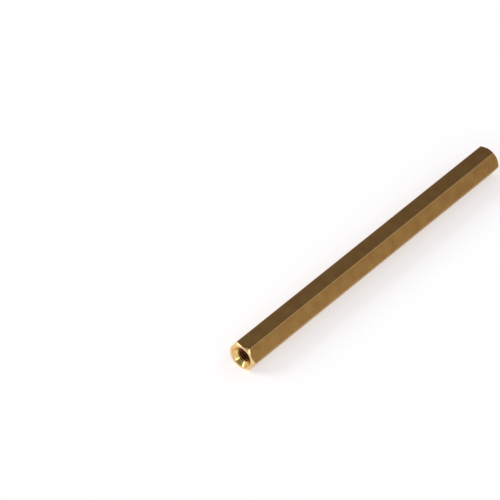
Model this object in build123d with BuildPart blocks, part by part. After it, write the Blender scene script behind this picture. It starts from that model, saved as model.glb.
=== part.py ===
"""Hex standoff: one length of drawn hexagonal brass bar with a tapped blind hole in each end.

The bar lies along X on one of its flats, with its origin at the middle of that flat and +Z up.
Lengths are in millimetres and angles in degrees. Both ends are made alike.
"""

from build123d import *
import os
from math import radians, sqrt, tan

# The drawn bar
length = 70.0
across_flats = 5.0
bar_edge_radius = 0.15

# The turned end: a cone takes off the six corners and leaves a round face inside the flats
face_inset = 0.05
corner_cone_angle = 45.0

# The threaded hole, M3 with a pitch of 0.5, kept here as its tapping drill
thread_diameter = 3.0
thread_pitch = 0.5
drill_depth = 12.0
drill_point_angle = 118.0

# The countersunk mouth leaves a narrow flat ring, on which a washer or a board seats
seat_ring_width = 0.4
countersink_angle = 90.0

# Worked out from the sizes above
axis_height = across_flats / 2
half_length = length / 2
sharp_corner_radius = across_flats / sqrt(3)
face_radius = across_flats / 2 - face_inset
mouth_radius = face_radius - seat_ring_width
drill_radius = (thread_diameter - thread_pitch) / 2
cone_length = (sharp_corner_radius - face_radius) * tan(radians(corner_cone_angle))
point_length = drill_radius / tan(radians(drill_point_angle / 2))

bar_axis = Axis((0, 0, axis_height), (1, 0, 0))
right_end = Plane(origin=(half_length, 0, axis_height), x_dir=(0, 1, 0), z_dir=(1, 0, 0))
left_end = Plane(origin=(-half_length, 0, axis_height), x_dir=(0, 1, 0), z_dir=(-1, 0, 0))

with BuildPart() as standoff:
    # Hexagonal bar with the small rounded edges that drawing leaves on it
    with BuildSketch(Plane.YZ.offset(-half_length)) as bar_section:
        with Locations((0, axis_height)):
            RegularPolygon(axis_height, side_count=6, major_radius=False)
        fillet(bar_section.vertices(), radius=bar_edge_radius)
    extrude(amount=length)

    # Corners turned off at both ends: a ring of triangular section, cut round the bar's axis
    with BuildSketch(Plane.XZ) as corner_waste:
        with BuildLine():
            Polyline(
                (half_length, axis_height + face_radius),
                (half_length, axis_height + sharp_corner_radius),
                (half_length - cone_length, axis_height + sharp_corner_radius),
                close=True,
            )
        make_face()
        mirror(about=Plane.YZ)
    revolve(axis=bar_axis, mode=Mode.SUBTRACT)

    # Countersunk tapping hole in each end, with the cone that the drill's point leaves
    with Locations(right_end, left_end):
        CounterSinkHole(
            radius=drill_radius,
            counter_sink_radius=mouth_radius,
            depth=drill_depth,
            counter_sink_angle=countersink_angle,
        )
    with Locations(right_end.offset(-drill_depth), left_end.offset(-drill_depth)):
        Cone(
            bottom_radius=0,
            top_radius=drill_radius,
            height=point_length,
            align=(Align.CENTER, Align.CENTER, Align.MAX),
            mode=Mode.SUBTRACT,
        )

standoff.part.label = "hex_standoff"

os.makedirs("parts", exist_ok=True)
export_step(standoff.part, "parts/hex_standoff.step")
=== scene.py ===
"""The looks of the hex standoff: drawn brass bar, turned and tapped at both ends, lying on a white table.

The visual bar stands for the CAD node hex_standoff and shares its frame. Its pieces are modelled round the X axis,
as on a lathe, and the finished bar is then lifted so that it lies on one flat. Lengths are in metres.
"""

import logging
import math
from collections.abc import Iterator
from contextlib import contextmanager
from dataclasses import dataclass
from enum import Enum

import bpy
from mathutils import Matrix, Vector


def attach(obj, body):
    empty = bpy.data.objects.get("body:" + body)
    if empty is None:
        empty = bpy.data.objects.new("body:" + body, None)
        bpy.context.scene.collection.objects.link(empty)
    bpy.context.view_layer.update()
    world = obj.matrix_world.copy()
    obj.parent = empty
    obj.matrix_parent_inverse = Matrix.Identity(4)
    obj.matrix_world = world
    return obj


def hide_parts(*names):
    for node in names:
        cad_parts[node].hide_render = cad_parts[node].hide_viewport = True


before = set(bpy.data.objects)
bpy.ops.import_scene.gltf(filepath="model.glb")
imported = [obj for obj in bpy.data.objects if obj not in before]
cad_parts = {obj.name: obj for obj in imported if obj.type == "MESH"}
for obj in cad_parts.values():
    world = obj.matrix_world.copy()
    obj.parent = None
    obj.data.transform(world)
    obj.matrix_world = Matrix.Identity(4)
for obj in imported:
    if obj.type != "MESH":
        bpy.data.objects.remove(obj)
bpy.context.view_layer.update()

LOG = logging.getLogger("standoff")

MM = 0.001
MERGE_DISTANCE = 0.0001 * MM
CAD_NODE = "hex_standoff"
CAD_BODY = "root"
BAR_AXIS = Vector((1, 0, 0))
SPIN_STEPS = 144
ALMOST_PARALLEL = 0.99

Colour = tuple[float, float, float, float]


class End(Enum):
    """The two ends of the bar, each with the turn about Z that brings the right end's tool to it."""

    RIGHT = 0.0
    LEFT = math.pi


class Surface(Enum):
    """The surfaces of the standoff, each with a finish of its own."""

    DRAWN = "Drawn brass"
    FACED = "Faced brass"
    CHAMFERED = "Chamfered brass"
    COUNTERSUNK = "Countersunk brass"
    TAPPED = "Tapped brass"


class Cut(Enum):
    """What a boolean cut leaves of the target."""

    KEEP_SHARED = "INTERSECT"
    TAKE_AWAY = "DIFFERENCE"


# Modelling helpers


@contextmanager
def edit_mode(obj: bpy.types.Object) -> Iterator[bpy.types.Mesh]:
    """Opens one object in edit mode, with its whole mesh deselected, and closes it again.

    Args:
        obj: The mesh object to open.

    Yields:
        The object's mesh.
    """
    select_only(obj)
    bpy.ops.object.mode_set(mode="EDIT")
    bpy.ops.mesh.select_all(action="DESELECT")
    try:
        yield obj.data
    finally:
        bpy.ops.object.mode_set(mode="OBJECT")


def select_only(obj: bpy.types.Object) -> None:
    """Selects one object and makes it the active one.

    Args:
        obj: The object to select.
    """
    bpy.ops.object.select_all(action="DESELECT")
    obj.select_set(True)
    bpy.context.view_layer.objects.active = obj


def apply_place(obj: bpy.types.Object) -> None:
    """Puts an object's place, turn and scale into its mesh.

    Args:
        obj: The object, which ends up at the origin, unturned and unscaled.
    """
    select_only(obj)
    bpy.ops.object.transform_apply(location=True, rotation=True, scale=True)


def draw_profile(name: str, points: list[tuple[float, float]]) -> bpy.types.Object:
    """Draws a lathe profile as a chain of edges in the XZ plane.

    Args:
        name: The name of the new object.
        points: Pairs of the distance along the bar and the radius from its axis.

    Returns:
        The wire object, with its origin on the bar's axis.
    """
    corners = [Vector((along, 0, radius)) for along, radius in points]
    bpy.ops.object.select_all(action="DESELECT")
    bpy.ops.mesh.primitive_plane_add(size=MM, location=(0, 0, 0))
    obj = bpy.context.object
    obj.name = name
    bpy.ops.object.mode_set(mode="EDIT")
    bpy.ops.mesh.merge(type="CENTER")
    bpy.ops.transform.translate(value=corners[0])
    for start, stop in zip(corners, corners[1:]):
        bpy.ops.mesh.extrude_vertices_move(TRANSFORM_OT_translate={"value": stop - start})
    bpy.ops.object.mode_set(mode="OBJECT")
    return obj


def close_up(obj: bpy.types.Object) -> None:
    """Merges doubled vertices and turns every face outwards.

    Args:
        obj: A mesh object that closes on itself once its doubles are merged.
    """
    with edit_mode(obj):
        bpy.ops.mesh.select_all(action="SELECT")
        bpy.ops.mesh.remove_doubles(threshold=MERGE_DISTANCE)
        bpy.ops.mesh.normals_make_consistent(inside=False)


def boolean(target: bpy.types.Object, tool: bpy.types.Object, cut: Cut) -> None:
    """Cuts a target with a tool, whose own material goes on the cut faces, and deletes the tool.

    Args:
        target: The closed solid that is cut.
        tool: The closed solid that cuts it.
        cut: What is left of the target.
    """
    select_only(target)
    modifier = target.modifiers.new("cut", "BOOLEAN")
    modifier.operation = cut.value
    modifier.solver = "EXACT"
    modifier.material_mode = "TRANSFER"
    modifier.object = tool
    bpy.ops.object.modifier_apply(modifier=modifier.name)
    bpy.data.objects.remove(tool)


# Shader helpers


class NodeTree:
    """Adds shader nodes to one node tree and links them."""

    def __init__(self, tree: bpy.types.NodeTree) -> None:
        """Takes the tree that the nodes go into.

        Args:
            tree: The node tree of a material, a world or a group.
        """
        self.tree = tree

    def add(self, kind: str, **settings: object) -> bpy.types.Node:
        """Adds a node.

        Args:
            kind: The node's type name.
            **settings: Properties of the node, by name.

        Returns:
            The new node.
        """
        node = self.tree.nodes.new(kind)
        for name, value in settings.items():
            setattr(node, name, value)
        return node

    def link(self, source: bpy.types.NodeSocket, target: bpy.types.NodeSocket) -> None:
        """Links an output to an input."""
        self.tree.links.new(source, target)

    def feed(self, socket: bpy.types.NodeSocket, value: object) -> None:
        """Links a socket to an input, or sets the input to a plain value.

        Args:
            socket: The input.
            value: An output socket, a number or a colour.
        """
        if isinstance(value, bpy.types.NodeSocket):
            self.link(value, socket)
        else:
            socket.default_value = value

    def math(self, operation: str, *values: object, clamp: bool = False) -> bpy.types.NodeSocket:
        """Adds a Math node.

        Args:
            operation: The operation's name.
            *values: The inputs in order, each a socket or a number.
            clamp: Whether the result is kept between 0 and 1.

        Returns:
            The node's output.
        """
        node = self.add("ShaderNodeMath", operation=operation, use_clamp=clamp)
        for socket, value in zip(node.inputs, values):
            self.feed(socket, value)
        return node.outputs[0]

    def noise(self, vector: object, scale: object, detail: float, roughness: float = 0.5) -> bpy.types.NodeSocket:
        """Adds a Noise Texture.

        Args:
            vector: Where the noise is read.
            scale: Features in each metre.
            detail: Octaves of finer noise.
            roughness: How strong the finer octaves are.

        Returns:
            The noise as a value round 0.5.
        """
        node = self.add("ShaderNodeTexNoise")
        self.feed(node.inputs["Vector"], vector)
        self.feed(node.inputs["Scale"], scale)
        node.inputs["Detail"].default_value = detail
        node.inputs["Roughness"].default_value = roughness
        return node.outputs["Fac"]

    def scaled(self, vector: object, scale: object) -> bpy.types.NodeSocket:
        """Adds a Mapping node that scales coordinates, so that a pattern is stretched the other way.

        Args:
            vector: The coordinates.
            scale: The factor along each axis.

        Returns:
            The scaled coordinates.
        """
        node = self.add("ShaderNodeMapping")
        self.feed(node.inputs["Vector"], vector)
        self.feed(node.inputs["Scale"], scale)
        return node.outputs["Vector"]

    def remap(
        self, value: object, low: object, high: object, out_low: object, out_high: object
    ) -> bpy.types.NodeSocket:
        """Adds a Map Range node that holds its ends.

        Args:
            value: The value to map.
            low: The value that gives out_low.
            high: The value that gives out_high.
            out_low: The result at low.
            out_high: The result at high.

        Returns:
            The mapped value.
        """
        node = self.add("ShaderNodeMapRange")
        for socket, given in zip(node.inputs, (value, low, high, out_low, out_high)):
            self.feed(socket, given)
        return node.outputs["Result"]

    def bump(self, height: object, shader: bpy.types.Node) -> None:
        """Adds a Bump node to a shader's normal.

        Args:
            height: The height in metres.
            shader: The shader whose normal it turns.
        """
        node = self.add("ShaderNodeBump")
        node.inputs["Distance"].default_value = 1.0
        self.feed(node.inputs["Height"], height)
        self.link(node.outputs["Normal"], shader.inputs["Normal"])

    def mix(self, factor: object, first: object, second: object, blend: str = "MIX") -> bpy.types.NodeSocket:
        """Adds a Mix node for colours.

        Args:
            factor: How much of the second colour.
            first: The colour at 0.
            second: The colour at 1, or what the first is multiplied by there.
            blend: How the two are mixed, MIX or MULTIPLY.

        Returns:
            The mixed colour.
        """
        node = self.add("ShaderNodeMix", data_type="RGBA", blend_type=blend)
        inputs = {socket.identifier: socket for socket in node.inputs}
        self.feed(inputs["Factor_Float"], factor)
        self.feed(inputs["A_Color"], first)
        self.feed(inputs["B_Color"], second)
        return next(socket for socket in node.outputs if socket.identifier == "Result_Color")


def new_metal(name: str) -> tuple[bpy.types.Material, NodeTree, bpy.types.Node, bpy.types.NodeSocket]:
    """Makes a metal material that has no pattern yet.

    Args:
        name: The material's name.

    Returns:
        The material, its nodes, its Principled shader and the place on the object.
    """
    material = bpy.data.materials.new(name)
    material.use_nodes = True
    nodes = NodeTree(material.node_tree)
    shader = material.node_tree.nodes["Principled BSDF"]
    shader.inputs["Metallic"].default_value = 1.0
    return material, nodes, shader, nodes.add("ShaderNodeTexCoord").outputs["Object"]


class EffectGroup:
    """A shader node group with named inputs and outputs."""

    def __init__(self, name: str, inputs: dict[str, str], outputs: dict[str, str]) -> None:
        """Makes the empty group.

        Args:
            name: The group's name.
            inputs: The socket type of each input, by name.
            outputs: The socket type of each output, by name.
        """
        self.group = bpy.data.node_groups.new(name, "ShaderNodeTree")
        for socket, kind in inputs.items():
            self.group.interface.new_socket(socket, in_out="INPUT", socket_type=kind)
        for socket, kind in outputs.items():
            self.group.interface.new_socket(socket, in_out="OUTPUT", socket_type=kind)
        self.nodes = NodeTree(self.group)
        self.given = self.nodes.add("NodeGroupInput").outputs
        self.result = self.nodes.add("NodeGroupOutput").inputs

    def place(self, nodes: NodeTree, **values: object) -> bpy.types.NodeOutputs:
        """Puts the group into a material.

        Args:
            nodes: The material's nodes.
            **values: What goes into each input, with underscores for the spaces in its name.

        Returns:
            The outputs of the placed group.
        """
        node = nodes.add("ShaderNodeGroup", node_tree=self.group)
        for name, value in values.items():
            nodes.feed(node.inputs[name.replace("_", " ")], value)
        return node.outputs


# Effects that the finishes share


FLOAT = "NodeSocketFloat"
COLOUR = "NodeSocketColor"
VECTOR = "NodeSocketVector"
NOISE_MIDDLE = 0.5


@dataclass
class Effects:
    """The effects that more than one finish uses, each a node group that is built once.

    The tarnish mixes patches and grain, and its mask runs from nothing to full between two values of that mix. The
    tool's rings keep their pitch on a cone by a share of the distance along the bar, and its waves are wound round the
    bar, by so many radians in a metre, and upset by noise.
    """

    axis_height: float
    patch_share: float = 0.7
    grain_share: float = 0.3
    mask_start: float = 0.38
    mask_full: float = 0.62
    ring_slant: float = 0.6
    chatter_winding: float = 60.0
    chatter_upset: float = 6.0

    def __post_init__(self) -> None:
        """Builds the groups."""
        self.lathe_place = self.build_lathe_place()
        self.tarnish = self.build_tarnish()
        self.rings = self.build_rings()
        self.chatter = self.build_chatter()

    def build_lathe_place(self) -> EffectGroup:
        """Builds the place on the bar as a lathe sees it.

        Returns:
            The group, with the Radius from the bar's axis, the Angle round it and the distance Along it.
        """
        effect = EffectGroup("Lathe Place", {"Place": VECTOR}, {"Radius": FLOAT, "Angle": FLOAT, "Along": FLOAT})
        nodes = effect.nodes
        apart = nodes.add("ShaderNodeSeparateXYZ")
        nodes.link(effect.given["Place"], apart.inputs[0])
        across, along = apart.outputs["Y"], apart.outputs["X"]
        above = nodes.math("SUBTRACT", apart.outputs["Z"], self.axis_height)
        squares = nodes.math("ADD", nodes.math("MULTIPLY", across, across), nodes.math("MULTIPLY", above, above))
        nodes.link(nodes.math("SQRT", squares), effect.result["Radius"])
        nodes.link(nodes.math("ARCTAN2", across, above), effect.result["Angle"])
        nodes.link(along, effect.result["Along"])
        return effect

    def build_tarnish(self) -> EffectGroup:
        """Builds the cloudy change of colour of handled brass.

        Returns:
            The group, with the tarnished Colour and the Mask of the dull patches.
        """
        effect = EffectGroup(
            "Cloudy Tarnish",
            {
                "Place": VECTOR,
                "Clean Colour": COLOUR,
                "Dull Colour": COLOUR,
                "Patch Scale": FLOAT,
                "Grain Scale": FLOAT,
            },
            {"Colour": COLOUR, "Mask": FLOAT},
        )
        nodes, given = effect.nodes, effect.given
        patches = nodes.noise(given["Place"], given["Patch Scale"], 3.0, 0.55)
        grain = nodes.noise(given["Place"], given["Grain Scale"], 2.0)
        shares = nodes.math("MULTIPLY", patches, self.patch_share), nodes.math("MULTIPLY", grain, self.grain_share)
        mask = nodes.remap(nodes.math("ADD", *shares), self.mask_start, self.mask_full, 0.0, 1.0)
        nodes.link(nodes.mix(mask, given["Clean Colour"], given["Dull Colour"]), effect.result["Colour"])
        nodes.link(mask, effect.result["Mask"])
        return effect

    def build_rings(self) -> EffectGroup:
        """Builds the fine rings that a tool leaves round the bar's axis.

        Returns:
            The group, with the rings' Height between 0 and 1.
        """
        effect = EffectGroup(
            "Tool Rings", {"Radius": FLOAT, "Along": FLOAT, "Rings Per Metre": FLOAT}, {"Height": FLOAT}
        )
        nodes, given = effect.nodes, effect.given
        place = nodes.add("ShaderNodeCombineXYZ")
        nodes.link(nodes.math("MULTIPLY_ADD", given["Along"], self.ring_slant, given["Radius"]), place.inputs["X"])
        nodes.link(nodes.noise(place.outputs[0], given["Rings Per Metre"], 3.0, 0.6), effect.result["Height"])
        return effect

    def build_chatter(self) -> EffectGroup:
        """Builds the shallow waves that a chattering tool leaves round a cone.

        Returns:
            The group, with the waves' Height between about 0 and 1.
        """
        effect = EffectGroup(
            "Chatter",
            {"Place": VECTOR, "Angle": FLOAT, "Along": FLOAT, "Lobes": FLOAT, "Patch Scale": FLOAT},
            {"Height": FLOAT},
        )
        nodes, given = effect.nodes, effect.given
        uneven = nodes.noise(given["Place"], given["Patch Scale"], 1.0)
        upset = nodes.math("MULTIPLY", uneven, self.chatter_upset)
        phase = nodes.math("MULTIPLY_ADD", given["Along"], self.chatter_winding, upset)
        turn = nodes.math("MULTIPLY_ADD", given["Angle"], given["Lobes"], phase)
        nodes.link(nodes.math("MULTIPLY_ADD", nodes.math("SINE", turn), 0.5, 0.5), effect.result["Height"])
        return effect


# Finishes


@dataclass(frozen=True)
class DrawnBrass:
    """The skin of the bar as it came through the die: brown and matt, with fine lines along it and bright edges.

    Towards its right end the bar is painted a little darker, as painted shade.
    """

    clean: Colour = (0.385, 0.222, 0.066, 1)
    dull: Colour = (0.335, 0.173, 0.055, 1)
    edge: Colour = (0.50, 0.31, 0.125, 1)
    # painted shade: the skin is multiplied by this colour towards the bar's right end
    right_end_shade: Colour = (0.85, 0.82, 0.78, 1)
    right_end_shade_start: float = -35.0 * MM
    right_end_shade_full: float = 35.0 * MM
    edge_start: float = 2.79 * MM
    edge_full: float = 2.85 * MM
    roll_start: float = 2.60 * MM
    roll_depth: float = 0.012 * MM
    patches: float = 420.0
    grain: float = 4200.0
    lines: float = 6500.0
    line_squeeze: float = 0.012
    line_depth: float = 0.004 * MM
    roughness: float = 0.36
    edge_polish: float = 0.08
    line_roughness: float = 0.18
    dull_roughness: float = 0.05

    def material(self, effects: Effects) -> bpy.types.Material:
        """Builds the material.

        Args:
            effects: The shared node groups.

        Returns:
            The material, in the coordinates of the finished bar.
        """
        material, nodes, shader, place = new_metal(Surface.DRAWN.value)
        lathe = effects.lathe_place.place(nodes, Place=place)
        tarnish = effects.tarnish.place(
            nodes,
            Place=place,
            Clean_Colour=self.clean,
            Dull_Colour=self.dull,
            Patch_Scale=self.patches,
            Grain_Scale=self.grain,
        )
        edge = nodes.remap(lathe["Radius"], self.edge_start, self.edge_full, 0.0, 1.0)
        lines = nodes.noise(nodes.scaled(place, (self.line_squeeze, 1, 1)), self.lines, 4.0, 0.6)
        skin = nodes.mix(edge, tarnish["Colour"], self.edge)
        # painted shade: the skin grows darker from the left end of the bar to the right end
        right = nodes.remap(lathe["Along"], self.right_end_shade_start, self.right_end_shade_full, 0.0, 1.0)
        nodes.link(nodes.mix(right, skin, self.right_end_shade, "MULTIPLY"), shader.inputs["Base Color"])
        worn = nodes.math("MULTIPLY_ADD", edge, -self.edge_polish, self.roughness)
        lined = nodes.math("MULTIPLY_ADD", nodes.math("SUBTRACT", lines, NOISE_MIDDLE), self.line_roughness, worn)
        dulled = nodes.math("MULTIPLY_ADD", tarnish["Mask"], self.dull_roughness, lined)
        nodes.link(dulled, shader.inputs["Roughness"])
        roll = nodes.math("POWER", nodes.remap(lathe["Radius"], self.roll_start, self.edge_full, 0.0, 1.0), 2.0)
        drop = nodes.math("MULTIPLY", roll, -self.roll_depth)
        nodes.bump(nodes.math("MULTIPLY_ADD", lines, self.line_depth, drop), shader)
        return material


@dataclass(frozen=True)
class CutBrass:
    """Bare brass as a tool left it, with rings round the bar's axis and the waves of a chattering tool.

    Inside a hole the brass is painted darker with depth, partly a real stain and partly painted shade of the hole: the
    darkening starts and is full at two distances from the middle of the bar.
    """

    surface: Surface
    clean: Colour
    dull: Colour
    roughness: float
    dull_roughness: float = 0.06
    rings: float = 16000.0
    ring_depth: float = 0.0015 * MM
    ring_roughness: float = 0.15
    lobes: float = 7.0
    chatter_depth: float = 0.0
    chatter_patches: float = 700.0
    patches: float = 900.0
    grain: float = 5200.0
    # painted shade and stain: the dark colour that the inside of a hole turns to with depth
    stain_and_shade: Colour | None = None
    stain_and_shade_start: float = 34.50 * MM
    stain_and_shade_full: float = 34.10 * MM

    def material(self, effects: Effects) -> bpy.types.Material:
        """Builds the material.

        Args:
            effects: The shared node groups.

        Returns:
            The material, in the coordinates of the finished bar.
        """
        material, nodes, shader, place = new_metal(self.surface.value)
        lathe = effects.lathe_place.place(nodes, Place=place)
        tarnish = effects.tarnish.place(
            nodes,
            Place=place,
            Clean_Colour=self.clean,
            Dull_Colour=self.dull,
            Patch_Scale=self.patches,
            Grain_Scale=self.grain,
        )
        rings = effects.rings.place(
            nodes, Radius=lathe["Radius"], Along=lathe["Along"], Rings_Per_Metre=self.rings
        )["Height"]
        colour = tarnish["Colour"]
        if self.stain_and_shade:
            # painted shade with a real stain: the colour darkens deeper in the hole
            depth = nodes.math("ABSOLUTE", lathe["Along"])
            colour = nodes.mix(nodes.remap(depth, self.stain_and_shade_full, self.stain_and_shade_start, 1.0, 0.0), colour, self.stain_and_shade)
        nodes.link(colour, shader.inputs["Base Color"])
        dulled = nodes.math("MULTIPLY_ADD", tarnish["Mask"], self.dull_roughness, self.roughness)
        ringed = nodes.math("MULTIPLY_ADD", nodes.math("SUBTRACT", rings, NOISE_MIDDLE), self.ring_roughness, dulled)
        nodes.link(ringed, shader.inputs["Roughness"])
        chatter = effects.chatter.place(
            nodes,
            Place=place,
            Angle=lathe["Angle"],
            Along=lathe["Along"],
            Lobes=self.lobes,
            Patch_Scale=self.chatter_patches,
        )["Height"]
        waves = nodes.math("MULTIPLY", chatter, self.chatter_depth)
        nodes.bump(nodes.math("MULTIPLY_ADD", rings, self.ring_depth, waves), shader)
        return material


FINISHES: tuple[DrawnBrass | CutBrass, ...] = (
    DrawnBrass(),
    CutBrass(Surface.FACED, (0.88, 0.60, 0.315, 1), (0.80, 0.52, 0.25, 1), 0.22),
    CutBrass(Surface.CHAMFERED, (0.88, 0.66, 0.32, 1), (0.75, 0.52, 0.22, 1), 0.22, chatter_depth=0.006 * MM),
    CutBrass(Surface.COUNTERSUNK, (0.82, 0.58, 0.24, 1), (0.50, 0.32, 0.09, 1), 0.16, chatter_depth=0.040 * MM),
    # the tapped holes carry painted shade together with a real stain
    CutBrass(
        Surface.TAPPED, (0.86, 0.62, 0.30, 1), (0.70, 0.46, 0.19, 1), 0.30, rings=22000.0, stain_and_shade=(0.22, 0.09, 0.025, 1)
    ),
)


# The standoff


@dataclass
class HexBar:
    """Hexagonal bar as drawn, cut longer than the standoff so that the lathe faces both ends."""

    length: float = 70.0 * MM
    across_flats: float = 5.0 * MM
    edge_radius: float = 0.15 * MM
    edge_segments: int = 6
    spare_length: float = 1.0 * MM

    @property
    def corner_radius(self) -> float:
        """Distance from the axis to a sharp corner of the hexagon."""
        return self.across_flats / math.sqrt(3)

    def build(self, finish: bpy.types.Material) -> bpy.types.Object:
        """Models the bar round the X axis, on a flat.

        Args:
            finish: The material of the drawn skin.

        Returns:
            The closed bar.
        """
        bpy.ops.object.select_all(action="DESELECT")
        bpy.ops.mesh.primitive_cylinder_add(
            vertices=6,
            radius=self.corner_radius,
            depth=self.length + 2 * self.spare_length,
            location=(0, 0, 0),
            rotation=(0, math.pi / 2, 0),
        )
        bar = bpy.context.object
        bar.name = "standoff_body"
        apply_place(bar)
        bar.data.materials.append(finish)
        bpy.ops.object.mode_set(mode="EDIT")
        bpy.ops.mesh.select_mode(type="EDGE")
        bpy.ops.mesh.select_all(action="DESELECT")
        bpy.ops.object.mode_set(mode="OBJECT")
        for edge in bar.data.edges:
            start, stop = (bar.data.vertices[i].co for i in edge.vertices)
            edge.select = abs((stop - start).normalized().dot(BAR_AXIS)) > ALMOST_PARALLEL
        bpy.ops.object.mode_set(mode="EDIT")
        bpy.ops.mesh.bevel(
            offset_type="OFFSET",
            offset=self.edge_radius / math.tan(math.radians(60)),
            segments=self.edge_segments,
            profile=0.5,
            affect="EDGES",
        )
        bpy.ops.mesh.select_mode(type="VERT")
        bpy.ops.object.mode_set(mode="OBJECT")
        return bar


@dataclass
class TurnedBlank:
    """Everything that the lathe leaves: faced ends, coned corners, countersinks and drilled holes."""

    bar: HexBar
    face_inset: float = 0.05 * MM
    corner_cone_angle: float = math.radians(45)
    seat_ring_width: float = 0.4 * MM
    countersink_half_angle: float = math.radians(45)
    drill_radius: float = 1.25 * MM
    drill_depth: float = 12.0 * MM
    drill_point_half_angle: float = math.radians(59)
    broken_edge: float = 0.03 * MM
    clearance: float = 0.4 * MM
    faced_tilt: float = math.radians(25)

    def half_profile(self) -> list[tuple[float, float]]:
        """Gives the profile of the right end, from outside the bar's corners in to the drill's point.

        Returns:
            Pairs of the distance along the bar and the radius.
        """
        end = self.bar.length / 2
        face_radius = self.bar.across_flats / 2 - self.face_inset
        mouth_radius = face_radius - self.seat_ring_width
        clear_radius = self.bar.corner_radius + self.clearance
        cone_length = (clear_radius - face_radius) * math.tan(self.corner_cone_angle)
        countersink_depth = (mouth_radius - self.drill_radius) / math.tan(self.countersink_half_angle)
        point_length = self.drill_radius / math.tan(self.drill_point_half_angle)
        break_in = self.broken_edge / 3
        return [
            (end - cone_length, clear_radius),
            (end - self.broken_edge, face_radius + self.broken_edge / math.tan(self.corner_cone_angle)),
            (end - break_in, face_radius + break_in / 2),
            (end, face_radius - break_in),
            (end, mouth_radius + break_in),
            (end - break_in, mouth_radius - break_in / 2),
            (end - countersink_depth, self.drill_radius),
            (end - self.drill_depth, self.drill_radius),
            (end - self.drill_depth - point_length, 0.0),
        ]

    def surface_at(self, face: bpy.types.MeshPolygon) -> Surface:
        """Tells which surface a face of the blank belongs to.

        Args:
            face: A face of the blank.

        Returns:
            Its surface.
        """
        radius = math.hypot(face.center.y, face.center.z)
        if radius < self.drill_radius:
            return Surface.TAPPED
        if abs(face.normal.x) > math.cos(self.faced_tilt):
            return Surface.FACED
        if radius < self.bar.across_flats / 2 - self.face_inset:
            return Surface.COUNTERSUNK
        return Surface.CHAMFERED

    def build(self, finishes: dict[Surface, bpy.types.Material]) -> bpy.types.Object:
        """Spins the profile of both ends about the bar's axis.

        Args:
            finishes: The material of each surface.

        Returns:
            The closed blank, a little wider than the bar between its ends.
        """
        right = self.half_profile()
        left = [(-along, radius) for along, radius in reversed(right)]
        blank = draw_profile("turned_blank", left + right)
        with edit_mode(blank):
            bpy.ops.mesh.select_all(action="SELECT")
            bpy.ops.mesh.spin(steps=SPIN_STEPS, angle=math.tau, center=(0, 0, 0), axis=BAR_AXIS)
        close_up(blank)
        order = list(finishes)
        for surface in order:
            blank.data.materials.append(finishes[surface])
        for face in blank.data.polygons:
            face.material_index = order.index(self.surface_at(face))
        return blank


@dataclass
class ThreadTap:
    """The tap that cuts the M3 thread: a right-handed screw of 60 degree teeth, with a tapered lead."""

    bar: HexBar
    pitch: float = 0.5 * MM
    major_radius: float = 1.5 * MM
    core_radius: float = 1.2 * MM
    thread_depth: float = 10.5 * MM
    lead_length: float = 1.2 * MM
    overrun: float = 0.6 * MM
    spare_turns: int = 3
    steps_per_turn: int = 72
    ground_off: float = 0.1 * MM
    clearance: float = 0.05 * MM

    def tooth(self, start: float) -> list[tuple[float, float]]:
        """Gives one pitch of the tooth's outline.

        Args:
            start: Where the pitch starts along the bar.

        Returns:
            Pairs of the distance along the bar and the radius.
        """
        crest = self.pitch / 16
        slope = math.tan(math.radians(30))
        foot = crest + (self.major_radius - self.core_radius) * slope
        middle = start + self.pitch / 2
        soft = crest / 2
        return [
            (start, self.core_radius),
            (middle - foot, self.core_radius),
            (middle - crest - soft * slope, self.major_radius - soft),
            (middle - crest + soft * slope, self.major_radius),
            (middle + crest - soft * slope, self.major_radius),
            (middle + crest + soft * slope, self.major_radius - soft),
            (middle + foot, self.core_radius),
            (start + self.pitch, self.core_radius),
        ]

    def build(self, end: End, finish: bpy.types.Material) -> bpy.types.Object:
        """Screws the tooth along the hole, trims both ends and tapers the lead.

        Args:
            end: The end of the bar that the tap cuts.
            finish: The material of the thread.

        Returns:
            The closed tap, in place.
        """
        mouth = self.bar.length / 2 + self.overrun
        bottom = self.bar.length / 2 - self.thread_depth
        turns = math.ceil((mouth - bottom) / self.pitch) + self.spare_turns
        tap = draw_profile("thread_tap", self.tooth(bottom - self.spare_turns / 2 * self.pitch))
        tap.data.materials.append(finish)
        screw = tap.modifiers.new("screw", "SCREW")
        screw.axis = "X"
        screw.angle = math.tau
        screw.screw_offset = self.pitch
        screw.iterations = turns
        screw.steps = screw.render_steps = self.steps_per_turn
        screw.use_merge_vertices = False
        bpy.ops.object.modifier_apply(modifier=screw.name)
        with edit_mode(tap):
            bpy.ops.mesh.select_all(action="SELECT")
            bpy.ops.mesh.remove_doubles(threshold=MERGE_DISTANCE)
            for place, outward in ((mouth, 1), (bottom, -1)):
                bpy.ops.mesh.select_all(action="SELECT")
                bpy.ops.mesh.bisect(
                    plane_co=(place, 0, 0),
                    plane_no=(outward, 0, 0),
                    use_fill=True,
                    clear_outer=True,
                    threshold=MERGE_DISTANCE,
                )
        close_up(tap)
        boolean(tap, self.build_envelope(mouth, bottom, finish), Cut.KEEP_SHARED)
        tap.rotation_euler = (0, 0, end.value)
        apply_place(tap)
        return tap

    def build_envelope(self, mouth: float, bottom: float, finish: bpy.types.Material) -> bpy.types.Object:
        """Spins the tapered envelope that the tap's teeth are ground to.

        Args:
            mouth: Where the tap ends outside the bar.
            bottom: Where the thread ends inside the hole.
            finish: The material of the thread.

        Returns:
            The closed envelope.
        """
        clear = self.major_radius + self.clearance
        envelope = draw_profile(
            "tap_envelope",
            [
                (bottom + self.ground_off, 0.0),
                (bottom + self.ground_off, self.core_radius - self.clearance),
                (bottom + self.lead_length, clear),
                (mouth - self.ground_off, clear),
                (mouth - self.ground_off, 0.0),
            ],
        )
        envelope.data.materials.append(finish)
        with edit_mode(envelope):
            bpy.ops.mesh.select_all(action="SELECT")
            bpy.ops.mesh.spin(steps=SPIN_STEPS, angle=math.tau, center=(0, 0, 0), axis=BAR_AXIS)
        close_up(envelope)
        return envelope


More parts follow.
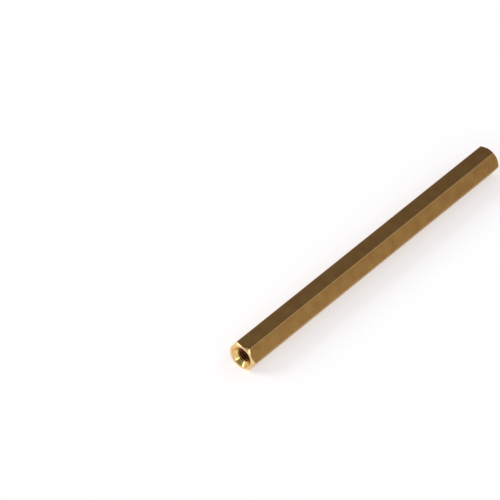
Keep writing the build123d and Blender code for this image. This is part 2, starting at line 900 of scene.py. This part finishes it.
@dataclass
class Standoff:
    """The finished standoff: the bar, turned and then tapped at both ends."""

    bar: HexBar
    blank: TurnedBlank
    tap: ThreadTap
    smooth_angle: float = math.radians(28)
    face_area_weight: int = 100

    def build(self) -> bpy.types.Object:
        """Models the standoff, dresses it and puts it on the frame.

        Returns:
            The finished piece.
        """
        effects = Effects(self.bar.across_flats / 2)
        finishes = {Surface(made.name): made for made in (finish.material(effects) for finish in FINISHES)}
        piece = self.bar.build(finishes[Surface.DRAWN])
        LOG.info("bar: %d faces", len(piece.data.polygons))
        boolean(piece, self.blank.build(finishes), Cut.KEEP_SHARED)
        LOG.info("turned: %d faces", len(piece.data.polygons))
        for end in End:
            boolean(piece, self.tap.build(end, finishes[Surface.TAPPED]), Cut.TAKE_AWAY)
            LOG.info("tapped %s: %d faces", end.name.lower(), len(piece.data.polygons))
        piece.location = (0, 0, self.bar.across_flats / 2)
        apply_place(piece)
        close_up(piece)
        self.smooth(piece)
        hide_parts(CAD_NODE)
        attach(piece, CAD_BODY)
        return piece

    def smooth(self, piece: bpy.types.Object) -> None:
        """Shades the curves smooth and keeps the flats flat up to their rounded edges.

        Args:
            piece: The finished mesh.
        """
        select_only(piece)
        bpy.ops.object.shade_smooth_by_angle(angle=self.smooth_angle)
        weighted = piece.modifiers.new("weighted", "WEIGHTED_NORMAL")
        weighted.keep_sharp = True
        weighted.weight = self.face_area_weight
        bpy.ops.object.modifier_apply(modifier=weighted.name)


# The table, the lamps and the camera


@dataclass
class Table:
    """A white table top that keeps the standoff's shadow near it and is plain white further off."""

    bar: HexBar
    size: float = 6.0
    colour: Colour = (0.87, 0.83, 0.80, 1)
    glow: float = 0.50
    white_start: float = 5.5 * MM
    white_full: float = 13.0 * MM

    def build(self) -> bpy.types.Object:
        """Builds the table top.

        Returns:
            The table top.
        """
        bpy.ops.object.select_all(action="DESELECT")
        bpy.ops.mesh.primitive_plane_add(size=self.size, location=(0, 0, 0))
        top = bpy.context.object
        top.name = "table_top"
        top.data.materials.append(self.material())
        return top

    def material(self) -> bpy.types.Material:
        """Builds a matt white that cameras and reflections see brighter than it is lit.

        Returns:
            The material.
        """
        material = bpy.data.materials.new("White table")
        material.use_nodes = True
        nodes = NodeTree(material.node_tree)
        material.node_tree.nodes.clear()
        matt = nodes.add("ShaderNodeBsdfDiffuse")
        matt.inputs["Color"].default_value = self.colour
        path = nodes.add("ShaderNodeLightPath")
        seen = nodes.math("ADD", path.outputs["Is Camera Ray"], path.outputs["Is Glossy Ray"])
        seen = nodes.math("ADD", seen, path.outputs["Is Transmission Ray"], clamp=True)
        glow = nodes.add("ShaderNodeEmission")
        nodes.link(nodes.math("MULTIPLY", seen, self.glow), glow.inputs["Strength"])
        near = nodes.add("ShaderNodeAddShader")
        nodes.link(matt.outputs[0], near.inputs[0])
        nodes.link(glow.outputs[0], near.inputs[1])
        place = nodes.add("ShaderNodeSeparateXYZ")
        nodes.link(nodes.add("ShaderNodeTexCoord").outputs["Object"], place.inputs[0])
        past_end = nodes.math("SUBTRACT", nodes.math("ABSOLUTE", place.outputs["X"]), self.bar.length / 2)
        offset = nodes.add("ShaderNodeCombineXYZ")
        nodes.link(nodes.math("MAXIMUM", past_end, 0.0), offset.inputs["X"])
        nodes.link(place.outputs["Y"], offset.inputs["Y"])
        distance = nodes.add("ShaderNodeVectorMath", operation="LENGTH")
        nodes.link(offset.outputs[0], distance.inputs[0])
        far = nodes.remap(distance.outputs["Value"], self.white_start, self.white_full, 0.0, 1.0)
        white = nodes.add("ShaderNodeEmission")
        both = nodes.add("ShaderNodeMixShader")
        nodes.link(nodes.math("MULTIPLY", seen, far), both.inputs[0])
        nodes.link(near.outputs[0], both.inputs[1])
        nodes.link(white.outputs[0], both.inputs[2])
        out = nodes.add("ShaderNodeOutputMaterial")
        nodes.link(both.outputs[0], out.inputs["Surface"])
        return material


@dataclass(frozen=True)
class SoftBox:
    """One square studio lamp, turned to the middle of the table."""

    name: str
    place: tuple[float, float, float]
    size: float
    power: float

    def build(self) -> None:
        """Adds the lamp."""
        light = bpy.data.lights.new(self.name, "AREA")
        light.shape = "SQUARE"
        light.size = self.size
        light.energy = self.power
        lamp = bpy.data.objects.new(self.name, light)
        lamp.location = self.place
        lamp.rotation_euler = (-Vector(self.place)).to_track_quat("-Z", "Y").to_euler()
        lamp.visible_camera = False
        bpy.context.scene.collection.objects.link(lamp)


@dataclass
class Studio:
    """The soft room light and the lamps."""

    horizon: Colour = (1.0, 1.0, 1.0, 1)
    overhead: Colour = (0.33, 0.335, 0.37, 1)
    background: Colour = (1.0, 1.0, 1.0, 1)
    horizon_top: float = 0.05
    overhead_start: float = 0.40
    lamps: tuple[SoftBox, ...] = (
        SoftBox("key", (-0.263, 0.279, 0.218), 0.24, 0.57),
        SoftBox("fill", (-0.346, -0.175, 0.183), 0.14, 0.17),
        SoftBox("rim", (0.708, -0.42, 0.876), 0.60, 0.88),
    )

    def build(self) -> None:
        """Builds the world and adds the lamps."""
        world = bpy.data.worlds.new("Studio")
        world.use_nodes = True
        bpy.context.scene.world = world
        nodes = NodeTree(world.node_tree)
        backdrop = world.node_tree.nodes["Background"]
        ray = nodes.add("ShaderNodeTexCoord").outputs["Generated"]
        apart = nodes.add("ShaderNodeSeparateXYZ")
        nodes.link(ray, apart.inputs[0])
        height = nodes.remap(apart.outputs["Z"], self.horizon_top, self.overhead_start, 0.0, 1.0)
        room = nodes.mix(height, self.horizon, self.overhead)
        seen = nodes.add("ShaderNodeLightPath").outputs["Is Camera Ray"]
        nodes.link(nodes.mix(seen, room, self.background), backdrop.inputs["Color"])
        backdrop.inputs["Strength"].default_value = 1.0
        for lamp in self.lamps:
            lamp.build()


@dataclass
class PhotoCamera:
    """The camera of the photograph, given by what it looks at and from where."""

    aim: tuple[float, float, float] = (-12.79 * MM, 16.33 * MM, 2.5 * MM)
    azimuth: float = math.radians(-52.44)
    elevation: float = math.radians(41.65)
    roll: float = math.radians(2.82)
    distance: float = 676.1 * MM
    focal_length: float = 277.13
    sensor_width: float = 36.0
    clip_ratio: float = 100.0

    def build(self) -> bpy.types.Object:
        """Adds the camera and makes it the scene's.

        Returns:
            The camera.
        """
        back = Vector(
            (
                math.sin(self.azimuth) * math.cos(self.elevation),
                -math.cos(self.azimuth) * math.cos(self.elevation),
                math.sin(self.elevation),
            )
        )
        data = bpy.data.cameras.new("photo_camera")
        data.lens = self.focal_length
        data.sensor_width = self.sensor_width
        data.clip_start = self.distance / self.clip_ratio
        data.clip_end = self.distance * self.clip_ratio
        camera = bpy.data.objects.new("photo_camera", data)
        camera.location = Vector(self.aim) + back * self.distance
        camera.rotation_euler = (-back).to_track_quat("-Z", "Y").to_euler()
        camera.rotation_euler.rotate_axis("Z", self.roll)
        bpy.context.scene.collection.objects.link(camera)
        bpy.context.scene.camera = camera
        return camera


def main() -> None:
    """Builds the standoff and the stage, and reports each piece."""
    logging.basicConfig(level=logging.INFO, format="%(name)s: %(message)s")
    bpy.context.scene.view_settings.view_transform = "Standard"
    bar = HexBar()
    piece = Standoff(bar, TurnedBlank(bar), ThreadTap(bar)).build()
    LOG.info("%s: %d faces", piece.name, len(piece.data.polygons))
    LOG.info("table: %s", Table(bar).build().name)
    studio = Studio()
    studio.build()
    LOG.info("lamps: %d", len(studio.lamps))
    LOG.info("camera: %s", PhotoCamera().build().name)


if __name__ == "__main__":
    main()
